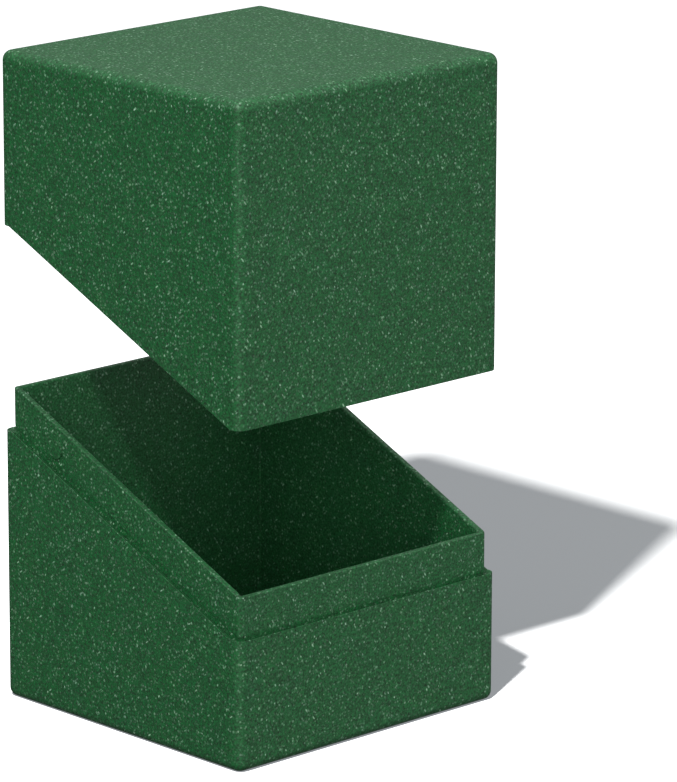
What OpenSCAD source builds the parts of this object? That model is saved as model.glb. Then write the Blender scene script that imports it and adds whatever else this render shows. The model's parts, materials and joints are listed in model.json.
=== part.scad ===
// Card deck box: a base and a lift-off lid that meet along a slanted cut.
// The base is an outer shell with an inner liner, and the liner stands above
// the cut as a neck that the lid slides over.
// Millimetres. +X is to the right, +Y to the rear, +Z up. The origin is the
// centre of the underside. The lid is drawn raised, as it is at rest.

/* [Body] */
// Outside width of the closed box, side to side
body_w = 77.3; // [70:0.1:90]
// Outside depth of the closed box, front to rear
body_d = 76.3; // [70:0.1:90]
// Outside height of the closed box
body_h = 100; // [95:0.5:110]
// Radius of the upright edges and of the lid's top edges
edge_r = 2.3; // [1.8:0.1:3]
// Radius of the edges around the underside
foot_r = 2; // [1:0.1:2.4]

/* [Slanted cut] */
// Height of the base's edge at the front
cut_front = 29.4; // [20:0.1:40]
// Height of the base's edge at the rear
cut_rear = 61.2; // [50:0.1:70]
// Level part of the cut at the front and at the rear
cut_flat = 2.8; // [2:0.1:5]

/* [Walls] */
// Wall of the base's outer shell
base_wall = 1.65; // [1.6:0.05:1.8]
// Floor of the base's outer shell
base_floor = 1.6; // [1.2:0.1:2.4]
// Wall of the lid
lid_wall = 1.5; // [1.3:0.05:1.5]
// Top panel of the lid
lid_top = 2; // [1.6:0.1:2.6]
// Wall of the inner liner
liner_wall = 1.5; // [1.2:0.1:2]
// Floor of the inner liner
liner_floor = 1.2; // [1:0.1:2]
// Gap between the outer shell and the liner, all round
liner_gap = 0.05; // [0.03:0.01:0.1]

/* [Neck] */
// Height of the neck above the slanted cut
neck_h = 9.3; // [8.5:0.1:12]
// Level part of the neck's rim at the front and at the rear
rim_flat = 2.2; // [1.9:0.1:3]
// Radius of the neck's upright corners
neck_r = 0.8; // [0.5:0.1:1.2]

/* [Detent nubs] */
// Radius of each round nub
nub_r = 2.1; // [1.5:0.1:2.5]
// How far a nub stands out of the neck
nub_h = 0.45; // [0.3:0.05:0.6]
// Distance from the rear of the box to the nub's centre
nub_from_rear = 15.9; // [12:0.1:30]
// Height of the nub's centre above the slanted cut
nub_above_cut = 4; // [3.2:0.1:5]
// Clearance around a nub in the lid's groove
nub_clear = 0.3; // [0.2:0.05:0.5]

/* [Pose] */
// How far the lid is raised
lid_lift = 46; // [0:0.5:100]

/* [Hidden] */

$fn = 64;
over = 1;                   // how far a cutting shape runs past a face
corner_step = 0.1;          // how much tighter the shells' inside corners are than the neck's
rise = cut_rear - cut_front;
run = body_d - 2 * cut_flat;
slope = rise / run;         // rise of the cut for each millimetre of depth

front_y = -body_d / 2;
rear_y = body_d / 2;
liner_inset = base_wall + liner_gap;
liner_w = body_w - 2 * liner_inset;
liner_d = body_d - 2 * liner_inset;
floor_z = base_floor + liner_floor;
rim_shift = (cut_flat - rim_flat) * slope;
nub_y = rear_y - nub_from_rear;
nub_z = cut_front + slope * (nub_y - front_y - cut_flat) + nub_above_cut;
nub_face = body_w / 2 - liner_inset;
nub_lead = 0.25;            // depth of the nub's bevelled edge
groove_r = nub_r + nub_clear;
groove_depth = lid_wall - liner_inset + nub_h + nub_clear / 2;

shell_green = [0.16, 0.34, 0.21];
liner_green = [0.15, 0.31, 0.19];
lid_green = [0.17, 0.37, 0.23];

// A rectangle with round corners, centred on the origin
module round_rect(w, d, r) {
    square([w - 2 * r, d], center = true);
    square([w, d - 2 * r], center = true);
    for (x = [-1, 1], y = [-1, 1])
        translate([x * (w / 2 - r), y * (d / 2 - r)]) circle(r);
}

// The closed box seen from one side, w wide, with its foot and top edges rounded
module side_view(w) {
    translate([-w / 2, foot_r]) square([w, body_h - foot_r - edge_r]);
    translate([-w / 2 + foot_r, 0]) square([w - 2 * foot_r, body_h / 2]);
    translate([-w / 2 + edge_r, body_h / 2]) square([w - 2 * edge_r, body_h / 2]);
    for (x = [-1, 1]) {
        translate([x * (w / 2 - foot_r), foot_r]) circle(foot_r);
        translate([x * (w / 2 - edge_r), body_h - edge_r]) circle(edge_r);
    }
}

// The whole closed box as a solid block
module closed_block() {
    intersection() {
        linear_extrude(body_h) round_rect(body_w, body_d, edge_r);
        rotate([90, 0, 0]) linear_extrude(body_d, center = true) side_view(body_w);
        rotate([90, 0, 90]) linear_extrude(body_w, center = true) side_view(body_d);
    }
}

// All the space below an edge that is level for flat at both ends and slants between
module below_edge(z_front, z_rear, flat) {
    rotate([90, 0, 90])
        linear_extrude(body_w + 2 * over, center = true)
            polygon([
                [front_y - over, -over],
                [rear_y + over, -over],
                [rear_y + over, z_rear],
                [rear_y - flat, z_rear],
                [front_y + flat, z_front],
                [front_y - over, z_front],
            ]);
}

// The outer shell of the base
module base_shell() {
    color(shell_green)
        difference() {
            intersection() {
                closed_block();
                below_edge(cut_front, cut_rear, cut_flat);
            }
            translate([0, 0, base_floor])
                linear_extrude(body_h)
                    round_rect(body_w - 2 * base_wall, body_d - 2 * base_wall, neck_r - corner_step);
        }
}

// One round nub with a bevelled edge, standing out of the neck along +X
module nub() {
    rotate([0, 90, 0]) {
        translate([0, 0, -liner_wall / 2]) cylinder(h = liner_wall / 2 + nub_h - nub_lead, r = nub_r);
        translate([0, 0, nub_h - nub_lead]) cylinder(h = nub_lead, r1 = nub_r, r2 = nub_r - nub_lead);
    }
}

// The inner liner: a tray for the cards whose walls stand above the cut as the neck
module inner_liner() {
    color(liner_green)
        difference() {
            union() {
                intersection() {
                    translate([0, 0, base_floor])
                        linear_extrude(body_h) round_rect(liner_w, liner_d, neck_r);
                    below_edge(cut_front + neck_h - rim_shift, cut_rear + neck_h + rim_shift, rim_flat);
                }
                for (side = [0, 1])
                    mirror([side, 0, 0]) translate([nub_face, nub_y, nub_z]) nub();
            }
            translate([0, 0, floor_z])
                linear_extrude(body_h)
                    round_rect(liner_w - 2 * liner_wall, liner_d - 2 * liner_wall, neck_r);
        }
}

// The groove inside the lid's wall that a nub runs up, ending in its seat
module nub_groove() {
    translate([body_w / 2 - lid_wall - over, nub_y, 0]) {
        translate([0, 0, nub_z]) rotate([0, 90, 0]) cylinder(h = over + groove_depth, r = groove_r);
        translate([0, -groove_r, 0]) cube([over + groove_depth, 2 * groove_r, nub_z]);
    }
}

// The lift-off lid
module lid_shell() {
    color(lid_green)
        translate([0, 0, lid_lift])
            difference() {
                closed_block();
                below_edge(cut_front, cut_rear, cut_flat);
                linear_extrude(body_h - lid_top)
                    round_rect(body_w - 2 * lid_wall, body_d - 2 * lid_wall, neck_r - 2 * corner_step);
                for (side = [0, 1]) mirror([side, 0, 0]) nub_groove();
            }
}

base_shell();
inner_liner();
lid_shell();
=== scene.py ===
import json
import math
import bmesh
import bpy
from mathutils import Matrix, Vector


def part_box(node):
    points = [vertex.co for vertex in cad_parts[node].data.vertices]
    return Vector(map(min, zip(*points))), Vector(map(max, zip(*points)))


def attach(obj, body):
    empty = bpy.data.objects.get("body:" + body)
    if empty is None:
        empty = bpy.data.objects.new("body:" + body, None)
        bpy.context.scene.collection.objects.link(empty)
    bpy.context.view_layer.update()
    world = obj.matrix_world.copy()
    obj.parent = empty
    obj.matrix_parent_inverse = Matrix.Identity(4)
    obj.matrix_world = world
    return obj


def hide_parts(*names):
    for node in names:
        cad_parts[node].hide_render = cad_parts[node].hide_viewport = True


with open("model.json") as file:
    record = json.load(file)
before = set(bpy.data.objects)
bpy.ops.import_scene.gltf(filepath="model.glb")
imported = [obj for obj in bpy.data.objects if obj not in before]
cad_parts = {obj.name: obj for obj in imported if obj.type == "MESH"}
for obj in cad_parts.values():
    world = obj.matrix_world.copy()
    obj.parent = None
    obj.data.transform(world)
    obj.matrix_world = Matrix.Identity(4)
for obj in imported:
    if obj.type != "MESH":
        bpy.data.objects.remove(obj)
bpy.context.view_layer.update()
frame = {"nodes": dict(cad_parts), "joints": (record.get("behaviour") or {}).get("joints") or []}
print("frame loaded:", ", ".join(sorted(frame["nodes"])))

mm = 0.001
hair = 1e-6  # how close counts as the same place
overrun = 5 * mm  # how far a blank runs past the slanted edge before it's trimmed
cornerSteps = 8  # facets round a quarter turn of a corner
smoothAngle = math.radians(32)  # edges sharper than this stay crisp

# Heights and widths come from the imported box. The lid is drawn raised.
baseLow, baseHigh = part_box("base_shell")
linerLow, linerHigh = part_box("inner_liner")
lidLow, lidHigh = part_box("lid_shell")
lidJoint = [joint for joint in frame["joints"] if joint["name"] == "lid_lift"][0]
lidRaised = -lidJoint["range_m"][0]  # the lower limit is the closed box
cutFlat = 2.8 * mm  # level stretch at each end of the slanted cut
baseEdge = {
    "front": lidLow.z - lidRaised,
    "rear": baseHigh.z,
    "frontBend": baseLow.y + cutFlat,
    "rearBend": baseHigh.y - cutFlat,
}
lidEdge = dict(baseEdge, front=baseEdge["front"] + lidRaised, rear=baseEdge["rear"] + lidRaised)


# Helpers that work a mesh as a modeller would, picking by place or by facing

def clearSelection():
    if bpy.context.mode != "OBJECT":
        bpy.ops.object.mode_set(mode="OBJECT")
    bpy.ops.object.select_all(action="DESELECT")


def pickPieces(*pieces):
    clearSelection()
    for piece in pieces:
        piece.select_set(True)
    bpy.context.view_layer.objects.active = pieces[0]


def startEdit(piece):
    pickPieces(piece)
    bpy.ops.object.mode_set(mode="EDIT")


def selectIn(piece, kind, test):
    bpy.ops.mesh.select_mode(type=kind)
    bpy.ops.mesh.select_all(action="DESELECT")
    mesh = bmesh.from_edit_mesh(piece.data)
    items = {"VERT": mesh.verts, "EDGE": mesh.edges, "FACE": mesh.faces}[kind]
    for item in filter(test, items):
        item.select_set(True)
    bmesh.update_edit_mesh(piece.data)


def isUpright(edge):
    start, end = (corner.co for corner in edge.verts)
    return abs(start.x - end.x) < hair and abs(start.y - end.y) < hair


def liesAt(item, height):
    return all(abs(corner.co.z - height) < hair for corner in item.verts)


def isWall(face):
    return abs(face.normal.z) < 0.1


def bevelPicked(radius, steps):
    bpy.ops.mesh.bevel(offset=radius, segments=steps, profile=0.5, affect="EDGES", clamp_overlap=False)


def addBlock(name, low, high):
    clearSelection()
    low, high = Vector(low), Vector(high)
    bpy.ops.mesh.primitive_cube_add(size=1, location=(low + high) / 2, scale=high - low)
    block = bpy.context.object
    block.name = block.data.name = name
    bpy.ops.object.transform_apply(location=True, rotation=True, scale=True)
    return block


# The slanted edge: level at the front, sloping between the two bends, level at the rear

def slopeOf(edge):
    return (edge["rear"] - edge["front"]) / (edge["rearBend"] - edge["frontBend"])


def edgeHeight(edge, y):
    along = max(edge["frontBend"], min(edge["rearBend"], y))
    return edge["front"] + (along - edge["frontBend"]) * slopeOf(edge)


def stretchOf(edge, face):
    y = face.calc_center_median().y
    return (y > edge["rearBend"]) - (y < edge["frontBend"])


def scoreAlong(piece, edge):
    # adds a line of edges along the slanted edge, all round the piece
    for bend in (edge["frontBend"], edge["rearBend"]):
        selectIn(piece, "FACE", lambda face: abs(face.normal.z) < 0.99)
        bpy.ops.mesh.bisect(plane_co=(0, bend, 0), plane_no=(0, 1, 0), threshold=hair / 10)
    cuts = {
        -1: ((0, 0, edge["front"]), (0, 0, 1)),
        0: ((0, edge["frontBend"], edge["front"]), (0, -slopeOf(edge), 1)),
        1: ((0, 0, edge["rear"]), (0, 0, 1)),
    }
    for stretch, (point, normal) in cuts.items():
        selectIn(piece, "FACE", lambda face: isWall(face) and stretchOf(edge, face) == stretch)
        bpy.ops.mesh.bisect(plane_co=point, plane_no=normal, threshold=hair / 10)


def trimAlong(piece, edge, keepAbove):
    scoreAlong(piece, edge)

    def isWaste(face):
        centre = face.calc_center_median()
        return (centre.z > edgeHeight(edge, centre.y)) != keepAbove

    selectIn(piece, "FACE", isWaste)
    bpy.ops.mesh.delete(type="FACE")


def addTub(name, halfX, halfY, closedEnd, openEnd, cornerRadius, endRadius, edge):
    # a box with walls of no thickness, closed at one end and trimmed along the edge at the other
    bottom, top = sorted((closedEnd, openEnd))
    block = addBlock(name, (-halfX, -halfY, bottom), (halfX, halfY, top))
    startEdit(block)
    if cornerRadius == endRadius:
        selectIn(block, "EDGE", lambda line: isUpright(line) or liesAt(line, closedEnd))
        bevelPicked(cornerRadius, cornerSteps)
    else:
        selectIn(block, "EDGE", isUpright)
        bevelPicked(cornerRadius, cornerSteps)
        if endRadius:
            selectIn(block, "EDGE", lambda line: liesAt(line, closedEnd))
            bevelPicked(endRadius, cornerSteps)
    selectIn(block, "FACE", lambda face: liesAt(face, openEnd))
    bpy.ops.mesh.delete(type="FACE")
    trimAlong(block, edge, closedEnd > openEnd)
    bpy.ops.object.mode_set(mode="OBJECT")
    return block


def joinWalls(outside, inside):
    startEdit(inside)
    bpy.ops.mesh.select_all(action="SELECT")
    bpy.ops.mesh.flip_normals()
    pickPieces(outside, inside)
    bpy.ops.object.join()
    startEdit(outside)
    selectIn(outside, "EDGE", lambda line: line.is_boundary)
    bpy.ops.mesh.bridge_edge_loops()
    bpy.ops.object.mode_set(mode="OBJECT")
    return outside


def roundRim(piece, edge, halfX, halfY, radius, steps):
    # rounds one edge of the rim: the loop that runs at this half width and half depth
    cornerReach = 1.2 * mm  # round the corners the loop lies up to this far inside
    tallest = 1.5 * mm  # the rim may lie this far from the slanted edge

    def inLoop(line):
        if len(line.link_faces) != 2:
            return False
        level = [abs(face.normal.z) for face in line.link_faces]
        reach = [max(abs(corner.co.x) - halfX, abs(corner.co.y) - halfY) for corner in line.verts]
        drop = [abs(corner.co.z - edgeHeight(edge, corner.co.y)) for corner in line.verts]
        isNear = max(reach) < hair and min(reach) > -cornerReach and max(drop) < tallest
        return isNear and min(level) < 0.1 and max(level) > 0.6

    startEdit(piece)
    selectIn(piece, "EDGE", inLoop)
    bevelPicked(radius, steps)
    bpy.ops.object.mode_set(mode="OBJECT")


def applyBoolean(piece, tool, operation):
    pickPieces(piece)
    change = piece.modifiers.new("shape", "BOOLEAN")
    change.operation = operation
    change.solver = "EXACT"
    change.object = tool
    bpy.ops.object.modifier_apply(modifier=change.name)
    bpy.data.objects.remove(tool)


def addTwin(piece):
    # the same shape on the other side of the box, with a mesh of its own
    pickPieces(piece)
    bpy.ops.object.duplicate(linked=False)
    twin = bpy.context.object
    twin.scale.x = -1
    bpy.ops.object.transform_apply(location=False, rotation=False, scale=True)
    startEdit(twin)
    bpy.ops.mesh.select_all(action="SELECT")
    bpy.ops.mesh.normals_make_consistent(inside=False)
    bpy.ops.object.mode_set(mode="OBJECT")
    return twin


def finishPiece(piece, node, body, material):
    pickPieces(piece)
    bpy.ops.object.shade_smooth_by_angle(angle=smoothAngle)
    evening = piece.modifiers.new("flat faces", "WEIGHTED_NORMAL")
    evening.keep_sharp = True
    bpy.ops.object.modifier_apply(modifier=evening.name)
    piece.data.materials.clear()
    piece.data.materials.append(material)
    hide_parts(node)
    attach(piece, body)
    print("made", piece.name, "with", len(piece.data.polygons), "faces")


# Node helpers

def addNode(tree, kind, sockets=None, **settings):
    node = tree.nodes.new(kind)
    for name, value in settings.items():
        setattr(node, name, value)
    for name, value in (sockets or {}).items():
        if isinstance(value, bpy.types.NodeSocket):
            tree.links.new(value, node.inputs[name])
        else:
            node.inputs[name].default_value = value
    return node


def addMath(tree, operation, *values, clamp=False):
    sockets = {place: value for place, value in enumerate(values)}
    return addNode(tree, "ShaderNodeMath", sockets, operation=operation, use_clamp=clamp).outputs[0]


def addVector(tree, operation, *values):
    sockets = {place: value for place, value in enumerate(values)}
    return addNode(tree, "ShaderNodeVectorMath", sockets, operation=operation).outputs[0]


def fadeBetween(tree, value, start, end, low=0.0, high=1.0):
    sockets = {"Value": value, "From Min": start, "From Max": end, "To Min": low, "To Max": high}
    return addNode(tree, "ShaderNodeMapRange", sockets, clamp=True).outputs["Result"]


def startGroup(name, inputs, outputs):
    group = bpy.data.node_groups.new(name, "ShaderNodeTree")
    for label, kind, value in inputs:
        socket = group.interface.new_socket(label, in_out="INPUT", socket_type="NodeSocket" + kind)
        socket.default_value = value
    for label, kind in outputs:
        group.interface.new_socket(label, in_out="OUTPUT", socket_type="NodeSocket" + kind)
    given = group.nodes.new("NodeGroupInput").outputs
    results = group.nodes.new("NodeGroupOutput").inputs
    return group, given, results


def useGroup(tree, group, **sockets):
    named = {name.replace("_", " "): value for name, value in sockets.items()}
    return addNode(tree, "ShaderNodeGroup", named, node_tree=group).outputs


def makeFleckGroup():
    # small bits of filler in the plastic: round, or drawn out along one direction
    group, given, results = startGroup(
        "fillerFlecks",
        [("Place", "Vector", (0, 0, 0)), ("Turn", "Vector", (0, 0, 0)),
         ("Stretch", "Vector", (1, 1, 1)), ("Spacing", "Float", 1), ("Share", "Float", 0.3),
         ("Radius", "Float", 0.3), ("Softness", "Float", 0.4)],
        [("Mask", "Float")])
    rarity = 3.0  # most flecks are weak, and a few are strong
    weakest = 0.12
    turned = addNode(group, "ShaderNodeVectorRotate", {"Vector": given["Place"], "Rotation": given["Turn"]},
                     rotation_type="EULER_XYZ").outputs[0]
    drawn = addVector(group, "DIVIDE", turned, given["Stretch"])
    count = addMath(group, "DIVIDE", 1, given["Spacing"])
    cells = addNode(group, "ShaderNodeTexVoronoi", {"Vector": drawn, "Scale": count}).outputs
    parts = addNode(group, "ShaderNodeSeparateColor", {"Color": cells["Color"]}).outputs
    inner = addMath(group, "MULTIPLY", given["Radius"], addMath(group, "SUBTRACT", 1, given["Softness"]))
    inside = fadeBetween(group, cells["Distance"], given["Radius"], inner)
    chosen = addMath(group, "LESS_THAN", parts["Red"], given["Share"])
    rare = addMath(group, "POWER", parts["Green"], rarity)
    strength = fadeBetween(group, rare, 0, 1, weakest, 1)
    mask = addMath(group, "MULTIPLY", addMath(group, "MULTIPLY", inside, chosen), strength)
    group.links.new(mask, results["Mask"])
    return group


def makeMottleGroup():
    # cloudy unevenness of the mix, fine and broad, both centred on 0
    group, given, results = startGroup(
        "mixMottle",
        [("Place", "Vector", (0, 0, 0)), ("Fine Size", "Float", 0.5), ("Broad Size", "Float", 4)],
        [("Fine", "Float"), ("Broad", "Float"), ("Tint", "Color")])
    fine = addNode(group, "ShaderNodeTexNoise", {
        "Vector": given["Place"], "Scale": addMath(group, "DIVIDE", 1, given["Fine Size"]),
        "Detail": 2.0, "Roughness": 0.6}).outputs
    broad = addNode(group, "ShaderNodeTexNoise", {
        "Vector": given["Place"], "Scale": addMath(group, "DIVIDE", 1, given["Broad Size"]),
        "Detail": 3.0, "Roughness": 0.55}).outputs
    group.links.new(addMath(group, "SUBTRACT", fine["Fac"], 0.5), results["Fine"])
    group.links.new(addMath(group, "SUBTRACT", broad["Fac"], 0.5), results["Broad"])
    group.links.new(broad["Color"], results["Tint"])
    return group


def makeGrainGroup():
    # fine grain of the surface and a faint waviness of the wall, as a height in millimetres
    group, given, results = startGroup(
        "mouldGrain",
        [("Place", "Vector", (0, 0, 0)), ("Grain Size", "Float", 0.25), ("Grain Depth", "Float", 0.02),
         ("Wave Size", "Float", 9), ("Wave Depth", "Float", 0.01)],
        [("Height", "Float")])
    grain = addNode(group, "ShaderNodeTexNoise", {
        "Vector": given["Place"], "Scale": addMath(group, "DIVIDE", 1, given["Grain Size"]),
        "Detail": 2.0, "Roughness": 0.55}).outputs["Fac"]
    wave = addNode(group, "ShaderNodeTexNoise", {
        "Vector": given["Place"], "Scale": addMath(group, "DIVIDE", 1, given["Wave Size"]),
        "Detail": 1.0}).outputs["Fac"]
    height = addMath(group, "ADD", addMath(group, "MULTIPLY", grain, given["Grain Depth"]),
                     addMath(group, "MULTIPLY", wave, given["Wave Depth"]))
    group.links.new(height, results["Height"])
    return group


def makeEdgeGroup():
    # edges and rims are where hands rub: the surface there turns away from the box's
    # six flat directions
    group, given, results = startGroup(
        "rubbedEdges",
        [("Place", "Vector", (0, 0, 0)), ("Normal", "Vector", (0, 0, 1)),
         ("Breakup", "Float", 2.5)],
        [("Mask", "Float")])
    flat, turnedAway = 0.985, 0.75  # how squarely a surface faces one of the six directions
    untouched, rubbed = 0.35, 0.7  # noise levels between which wear sets in
    leastWear = 0.25
    facing = addVector(group, "ABSOLUTE", given["Normal"])
    facing = addNode(group, "ShaderNodeSeparateXYZ", {"Vector": facing}).outputs
    most = addMath(group, "MAXIMUM", addMath(group, "MAXIMUM", facing["X"], facing["Y"]), facing["Z"])
    turn = fadeBetween(group, most, flat, turnedAway)
    patches = addNode(group, "ShaderNodeTexNoise", {
        "Vector": given["Place"], "Scale": addMath(group, "DIVIDE", 1, given["Breakup"]),
        "Detail": 4.0}).outputs["Fac"]
    worn = fadeBetween(group, patches, untouched, rubbed, leastWear, 1)
    group.links.new(addMath(group, "MULTIPLY", turn, worn), results["Mask"])
    return group


fleckGroup = makeFleckGroup()
mottleGroup = makeMottleGroup()
grainGroup = makeGrainGroup()
edgeGroup = makeEdgeGroup()
print("made the plastic's node groups")

# The plastic of all three mouldings, with sizes in millimetres
shellPlastic = {
    "deepGreen": (0.0, 0.032, 0.0055, 1),
    "midGreen": (0.005, 0.126, 0.029, 1),
    "paleFibre": (0.36, 0.62, 0.42, 1),
    "mottleSize": 0.50,
    "mottleRange": (0.31, 0.70),
    "broadSize": 4.0,
    "broadMottle": 0.2,
    "tint": 0.14,
    "roughness": 0.62,
    "pitRoughness": 0.3,
    "broadRoughness": 0.25,
    "wornRoughness": -0.08,
    "specular": 0.54,
    "fleckLayers": [
        # spacing, share, radius, softness, stretch, turn, weight
        (0.68, 0.78, 0.46, 0.8, (1, 1, 1), (0.3, 0.5, 0.1), 0.38),
        (1.05, 0.42, 0.36, 0.6, (1, 1, 1), (1.1, 0.2, 0.7), 0.42),
        (0.80, 0.22, 0.28, 0.5, (2.8, 1, 1), (0.4, 0.9, 1.3), 0.66),
        (0.80, 0.22, 0.28, 0.5, (1, 2.8, 1), (1.2, 0.3, 0.5), 0.66),
        (0.80, 0.22, 0.28, 0.5, (1, 1, 2.8), (0.2, 0.6, 0.9), 0.66),
    ],
    "darkLayer": (0.9, 0.45, 0.42, 0.8, (1, 1, 1), (0.9, 1.4, 0.2), 0.6),
    "edgeWear": 0.05,
    "wearSize": 2.5,
    "grainSize": 0.3,
    "grainDepth": 0.045,
    "waveSize": 9.0,
    "waveDepth": 0.01,
}


def addFlecks(tree, place, layer):
    spacing, share, radius, softness, stretch, turn, weight = layer
    mask = useGroup(tree, fleckGroup, Place=place, Turn=turn, Stretch=stretch, Spacing=spacing,
                    Share=share, Radius=radius, Softness=softness)["Mask"]
    return addMath(tree, "MULTIPLY", mask, weight)


def makePlastic(name, values, offset):
    material = bpy.data.materials.new(name)
    material.use_nodes = True
    tree = material.node_tree
    tree.nodes.clear()
    spot = addNode(tree, "ShaderNodeTexCoord").outputs
    place = addNode(tree, "ShaderNodeMapping", {
        "Vector": spot["Object"], "Location": offset, "Scale": (1 / mm, 1 / mm, 1 / mm)}).outputs[0]
    mottle = useGroup(tree, mottleGroup, Place=place, Fine_Size=values["mottleSize"],
                      Broad_Size=values["broadSize"])
    edges = useGroup(tree, edgeGroup, Place=place, Normal=spot["Normal"],
                     Breakup=values["wearSize"])["Mask"]
    low, high = values["mottleRange"]
    ground = fadeBetween(tree, mottle["Fine"], low - 0.5, high - 0.5)
    ground = addMath(tree, "MULTIPLY_ADD", mottle["Broad"], values["broadMottle"], ground)
    ground = addMath(tree, "MULTIPLY_ADD", edges, values["edgeWear"], ground)
    ground = addMath(tree, "SUBTRACT", ground, addFlecks(tree, place, values["darkLayer"]), clamp=True)
    colour = addNode(tree, "ShaderNodeMix", {
        "Factor": ground, 6: values["deepGreen"], 7: values["midGreen"]}, data_type="RGBA").outputs[2]
    fibres = 0.0
    for layer in values["fleckLayers"]:
        fibres = addMath(tree, "ADD", addFlecks(tree, place, layer), fibres, clamp=True)
    colour = addNode(tree, "ShaderNodeMix", {
        "Factor": fibres, 6: colour, 7: values["paleFibre"]}, data_type="RGBA").outputs[2]
    colour = addNode(tree, "ShaderNodeMix", {
        "Factor": values["tint"], 6: colour, 7: mottle["Tint"]},
        data_type="RGBA", blend_type="OVERLAY").outputs[2]
    height = useGroup(tree, grainGroup, Place=place, Grain_Size=values["grainSize"],
                      Grain_Depth=values["grainDepth"], Wave_Size=values["waveSize"],
                      Wave_Depth=values["waveDepth"])["Height"]
    bump = addNode(tree, "ShaderNodeBump", {"Height": height, "Distance": mm, "Strength": 1.0}).outputs[0]
    rough = addMath(tree, "MULTIPLY_ADD", mottle["Broad"], values["broadRoughness"], values["roughness"])
    rough = addMath(tree, "MULTIPLY_ADD", edges, values["wornRoughness"], rough)
    darkness = addMath(tree, "SUBTRACT", 0.5, ground)
    rough = addMath(tree, "MULTIPLY_ADD", darkness, values["pitRoughness"], rough)
    surface = addNode(tree, "ShaderNodeBsdfPrincipled", {
        "Base Color": colour, "Roughness": rough,
        "Specular IOR Level": values["specular"], "Normal": bump})
    output = addNode(tree, "ShaderNodeOutputMaterial")
    tree.links.new(surface.outputs[0], output.inputs["Surface"])
    return material


# Base shell
baseShell = {
    "wall": 1.65 * mm,
    "floor": 1.6 * mm,
    "cornerRadius": 2.3 * mm,
    "footRadius": 2 * mm,
    "cavityRadius": 0.7 * mm,
    "rimRadius": 0.2 * mm,
    "rimSteps": 3,
    "rimFall": 0.95 * mm,  # how much lower the rim is beside the neck
}


def makeBaseShell(values, material):
    edge = baseEdge
    above = edge["rear"] + overrun
    innerX = baseHigh.x - values["wall"]
    innerY = baseHigh.y - values["wall"]
    outside = addTub("baseShell", baseHigh.x, baseHigh.y, baseLow.z, above,
                     values["cornerRadius"], values["footRadius"], edge)
    lower = dict(edge, front=edge["front"] - values["rimFall"], rear=edge["rear"] - values["rimFall"])
    inside = addTub("baseCavity", innerX, innerY, baseLow.z + values["floor"], above,
                    values["cavityRadius"], 0, lower)
    piece = joinWalls(outside, inside)
    roundRim(piece, edge, baseHigh.x, baseHigh.y, values["rimRadius"], values["rimSteps"])
    finishPiece(piece, "base_shell", "base", material)
    return piece


# Inner liner
innerLiner = {
    "wall": 1.5 * mm,
    "floor": 1.2 * mm,
    "cornerRadius": 0.8 * mm,
    "bayRadius": 0.2 * mm,
    "outerRimRadius": 0.28 * mm,
    "innerRimRadius": 0.45 * mm,
    "rimSteps": 4,
    "neckHeight": 9.3 * mm,
    "coveSteps": [
        # height above the base's rim and depth of the soft cove round the foot of the neck
        (1.0 * mm, 0),
        (0.2 * mm, 0.07 * mm),
        (-0.65 * mm, 0.22 * mm),
        (-2.0 * mm, 0),
    ],
    "nubRadius": 2.1 * mm,
    "nubHeight": 0.45 * mm,
    "nubEdge": 0.32 * mm,
    "nubEdgeSteps": 2,
    "nubSides": 64,
    "nubFromRear": 15.9 * mm,
    "nubAboveCut": 4 * mm,
}
nubY = baseHigh.y - innerLiner["nubFromRear"]
nubZ = edgeHeight(baseEdge, nubY) + innerLiner["nubAboveCut"]
linerX = linerHigh.x - innerLiner["nubHeight"]


def cornerStep(values, degrees):
    # how far back a point of the rounded corner lies
    return linerHigh.y - values["cornerRadius"] * (1 - math.sin(math.radians(degrees)))


# the neck's rim runs alongside the slanted cut, and its bends fall on steps of the rounded corners
linerEdge = {
    "front": linerHigh.z - slopeOf(baseEdge) * (cornerStep(innerLiner, 45) + cornerStep(innerLiner, 0)),
    "rear": linerHigh.z,
    "frontBend": -cornerStep(innerLiner, 45),
    "rearBend": cornerStep(innerLiner, 0),
}


def makeNub(values):
    depth = values["wall"] / 2 + values["nubHeight"]
    tip = linerX + values["nubHeight"]
    clearSelection()
    bpy.ops.mesh.primitive_cylinder_add(
        vertices=values["nubSides"], radius=values["nubRadius"], depth=depth,
        location=(tip - depth / 2, nubY, nubZ), rotation=(0, math.pi / 2, 0))
    nub = bpy.context.object
    nub.name = "nub"
    bpy.ops.object.transform_apply(location=True, rotation=True, scale=True)
    startEdit(nub)
    selectIn(nub, "EDGE", lambda line: all(abs(corner.co.x - tip) < hair for corner in line.verts))
    bevelPicked(values["nubEdge"], values["nubEdgeSteps"])
    bpy.ops.object.mode_set(mode="OBJECT")
    return nub


def shapeCove(piece, edge, values):
    startEdit(piece)
    lines = []
    for rise, depth in values["coveSteps"]:
        drop = values["neckHeight"] - rise
        lines.append((dict(edge, front=edge["front"] - drop, rear=edge["rear"] - drop), depth))
        scoreAlong(piece, lines[-1][0])
    for line, depth in lines:
        selectIn(piece, "VERT", lambda corner: abs(corner.co.z - edgeHeight(line, corner.co.y)) < hair)
        shrink = (1 - depth / linerX, 1 - depth / linerHigh.y, 1)
        bpy.ops.transform.resize(value=shrink, center_override=(0, 0, 0))
    bpy.ops.object.mode_set(mode="OBJECT")


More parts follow.
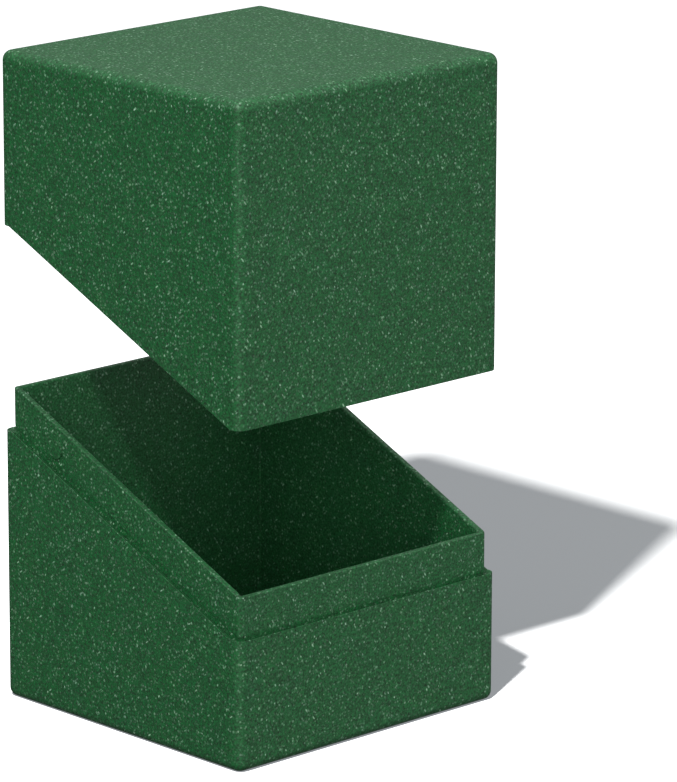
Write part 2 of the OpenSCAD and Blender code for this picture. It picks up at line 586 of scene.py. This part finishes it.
def levelWallTops(piece, edge, values):
    # the front and rear walls end level across their thickness, and meet the slope round the inner corners
    startEdit(piece)
    radius = values["bayRadius"]
    face = linerHigh.y - values["wall"]
    for side, level in ((-1, edge["front"]), (1, edge["rear"])):
        end = edgeHeight(edge, side * (face - radius))
        for step in range(cornerSteps):
            turn = step / cornerSteps * math.pi / 2
            y = side * (face - radius * (1 - math.cos(turn)))
            height = level + (end - level) * math.sin(turn) ** 2
            selectIn(piece, "VERT", lambda corner: abs(corner.co.y - y) < hair
                     and abs(corner.co.z - edgeHeight(edge, y)) < hair and abs(corner.co.x) < linerX - hair)
            bpy.ops.transform.resize(value=(1, 1, 0), center_override=(0, y, height))
    bpy.ops.object.mode_set(mode="OBJECT")


def makeInnerLiner(values, material):
    edge = linerEdge
    above = edge["rear"] + overrun
    wall = values["wall"]
    outside = addTub("innerLiner", linerX, linerHigh.y, linerLow.z, above,
                     values["cornerRadius"], 0, edge)
    inside = addTub("cardBay", linerX - wall, linerHigh.y - wall, linerLow.z + values["floor"], above,
                    values["bayRadius"], values["bayRadius"], edge)
    shapeCove(outside, edge, values)
    levelWallTops(inside, edge, values)
    piece = joinWalls(outside, inside)
    roundRim(piece, edge, linerX, linerHigh.y, values["outerRimRadius"], values["rimSteps"])
    roundRim(piece, edge, linerX - wall, linerHigh.y - wall, values["innerRimRadius"], values["rimSteps"])
    nub = makeNub(values)
    for each in (nub, addTwin(nub)):
        applyBoolean(piece, each, "UNION")
    finishPiece(piece, "inner_liner", "base", material)
    return piece


# Lid
lidShell = {
    "wall": 1.5 * mm,
    "top": 2 * mm,
    "cornerRadius": 2.3 * mm,
    "cavityRadius": 0.6 * mm,
    "rimRadius": 0.15 * mm,
    "rimSteps": 2,
    "grooveRadius": 2.4 * mm,
    "grooveDepth": 0.4 * mm,
    "grooveLength": 14 * mm,  # runs out through the lid's lower edge
    "grooveOverrun": 0.8 * mm,  # how far the cutter reaches into the open inside
    "seatSteps": 16,
}


def makeGroove(values):
    # the channel that a nub runs up, with a round seat at its top
    face = lidHigh.x - values["wall"]
    radius = values["grooveRadius"]
    top = nubZ + lidRaised + radius
    groove = addBlock("groove",
                      (face - values["grooveOverrun"], nubY - radius, top - values["grooveLength"]),
                      (face + values["grooveDepth"], nubY + radius, top))

    def runsAcross(line):
        return liesAt(line, top) and abs(line.verts[0].co.y - line.verts[1].co.y) < hair

    startEdit(groove)
    selectIn(groove, "EDGE", runsAcross)
    bevelPicked(radius - hair, values["seatSteps"])
    bpy.ops.object.mode_set(mode="OBJECT")
    return groove


def makeLidShell(values, material):
    edge = lidEdge
    below = edge["front"] - overrun
    innerX = lidHigh.x - values["wall"]
    innerY = lidHigh.y - values["wall"]
    outside = addTub("lidShell", lidHigh.x, lidHigh.y, lidHigh.z, below,
                     values["cornerRadius"], values["cornerRadius"], edge)
    inside = addTub("lidCavity", innerX, innerY, lidHigh.z - values["top"], below,
                    values["cavityRadius"], values["cavityRadius"], edge)
    piece = joinWalls(outside, inside)
    roundRim(piece, edge, lidHigh.x, lidHigh.y, values["rimRadius"], values["rimSteps"])
    roundRim(piece, edge, innerX, innerY, values["rimRadius"], values["rimSteps"])
    groove = makeGroove(values)
    for each in (groove, addTwin(groove)):
        applyBoolean(piece, each, "DIFFERENCE")
    finishPiece(piece, "lid_shell", "lid", material)
    return piece


pieces = [
    makeBaseShell(baseShell, makePlastic("baseGreen", shellPlastic, (3, 11, 7))),
    makeInnerLiner(innerLiner, makePlastic("linerGreen", shellPlastic, (41, 5, 23))),
    makeLidShell(lidShell, makePlastic("lidGreen", shellPlastic, (17, 37, 53))),
]

# Camera, with its angles in degrees
studioCamera = {
    "lens": 259.73,
    "sensor": 36,
    "nearest": 0.01,
    "furthest": 50,
    "aim": (13.149 * mm, -14.217 * mm, 70.543 * mm),
    "distance": 1233.466 * mm,
    "turn": -43.7497,
    "height": 14.7896,
    "roll": 0.1813,
}


def addCamera(values):
    turned = (Matrix.Rotation(math.radians(values["turn"]), 4, "Z")
              @ Matrix.Rotation(math.radians(90 - values["height"]), 4, "X")
              @ Matrix.Rotation(math.radians(values["roll"]), 4, "Z"))
    back = turned.to_3x3() @ Vector((0, 0, 1))
    data = bpy.data.cameras.new("studioCamera")
    data.lens = values["lens"]
    data.sensor_width = values["sensor"]
    data.clip_start = values["nearest"]
    data.clip_end = values["furthest"]
    camera = bpy.data.objects.new("studioCamera", data)
    bpy.context.scene.collection.objects.link(camera)
    camera.matrix_world = Matrix.Translation(Vector(values["aim"]) + back * values["distance"]) @ turned
    bpy.context.scene.camera = camera


addCamera(studioCamera)

# Floor, lamps and room light. The floor has a lamp of its own, at the same place as the
# pieces' lamp, so that its white and its shadow can be set apart from them.
studioFloor = {
    "size": 14,
    "gap": 0.01 * mm,  # keeps it clear of the underside
    "grey": (0.10, 0.10, 0.10, 1),
    "glow": (0.236, 0.252, 0.267, 1),
}
studioLamps = {
    "place": (-490 * mm, -288 * mm, 711 * mm),
    "aim": (0, 0, 70 * mm),
    "width": 50 * mm,
    "shellPower": 3.85,
    "floorPower": 190.0,
}
roomLight = {
    "above": 1.17,  # straight up, fading to nothing at the horizon
    "below": 0.156,
    "horizonBlur": 0.02,
    "softBoxes": [
        # direction, tightness, strength: one to the right, one behind the camera
        ((0.75, -0.6, 0.25), 6, 0.68),
        ((-0.6686, -0.6984, 0.2553), 14, 3.05),
    ],
}


def addFloor(values):
    clearSelection()
    bpy.ops.mesh.primitive_plane_add(size=values["size"], location=(0, 0, baseLow.z - values["gap"]))
    floor = bpy.context.object
    floor.name = "studioFloor"
    material = bpy.data.materials.new("palePaper")
    material.use_nodes = True
    surface = material.node_tree.nodes["Principled BSDF"].inputs
    surface["Base Color"].default_value = values["grey"]
    surface["Roughness"].default_value = 1
    surface["Specular IOR Level"].default_value = 0
    surface["Emission Color"].default_value = values["glow"]
    surface["Emission Strength"].default_value = 1
    floor.data.materials.append(material)
    floor.visible_diffuse = False
    floor.visible_glossy = False
    return floor


def addLamp(name, values, power, lit, evenFalloff):
    data = bpy.data.lights.new(name, "AREA")
    data.shape = "DISK"
    data.size = values["width"]
    data.energy = power
    lamp = bpy.data.objects.new(name, data)
    bpy.context.scene.collection.objects.link(lamp)
    place = Vector(values["place"])
    facing = (Vector(values["aim"]) - place).to_track_quat("-Z", "Y")
    lamp.matrix_world = Matrix.Translation(place) @ facing.to_matrix().to_4x4()
    receivers = bpy.data.collections.new(name + "Receivers")
    for piece in lit:
        receivers.objects.link(piece)
    lamp.light_linking.receiver_collection = receivers
    if evenFalloff:
        data.use_nodes = True
        emission = data.node_tree.nodes["Emission"]
        falloff = addNode(data.node_tree, "ShaderNodeLightFalloff", {"Strength": 1.0})
        data.node_tree.links.new(falloff.outputs["Constant"], emission.inputs["Strength"])


def setRoomLight(values):
    world = bpy.data.worlds.new("roomLight")
    bpy.context.scene.world = world
    world.use_nodes = True
    tree = world.node_tree
    tree.nodes.clear()
    direction = addNode(tree, "ShaderNodeTexCoord").outputs["Generated"]
    upward = addNode(tree, "ShaderNodeSeparateXYZ", {"Vector": direction}).outputs["Z"]
    blur = values["horizonBlur"]
    sky = fadeBetween(tree, upward, 0, 1, 0, values["above"])
    ground = fadeBetween(tree, upward, -blur, blur, values["below"], 0)
    strength = addMath(tree, "ADD", sky, ground)
    for toward, tightness, power in values["softBoxes"]:
        facing = addNode(tree, "ShaderNodeVectorMath", {
            0: direction, 1: Vector(toward).normalized()}, operation="DOT_PRODUCT").outputs["Value"]
        lobe = addMath(tree, "POWER", addMath(tree, "MAXIMUM", facing, 0), tightness)
        strength = addMath(tree, "MULTIPLY_ADD", lobe, power, strength)
    light = addNode(tree, "ShaderNodeBackground", {"Color": (1, 1, 1, 1), "Strength": strength})
    output = addNode(tree, "ShaderNodeOutputWorld")
    tree.links.new(light.outputs[0], output.inputs["Surface"])


floor = addFloor(studioFloor)
addLamp("shellLamp", studioLamps, studioLamps["shellPower"], pieces, False)
addLamp("floorLamp", studioLamps, studioLamps["floorPower"], [floor], True)
setRoomLight(roomLight)
bpy.context.scene.view_settings.view_transform = "Standard"
print("set the camera, floor and lamps")
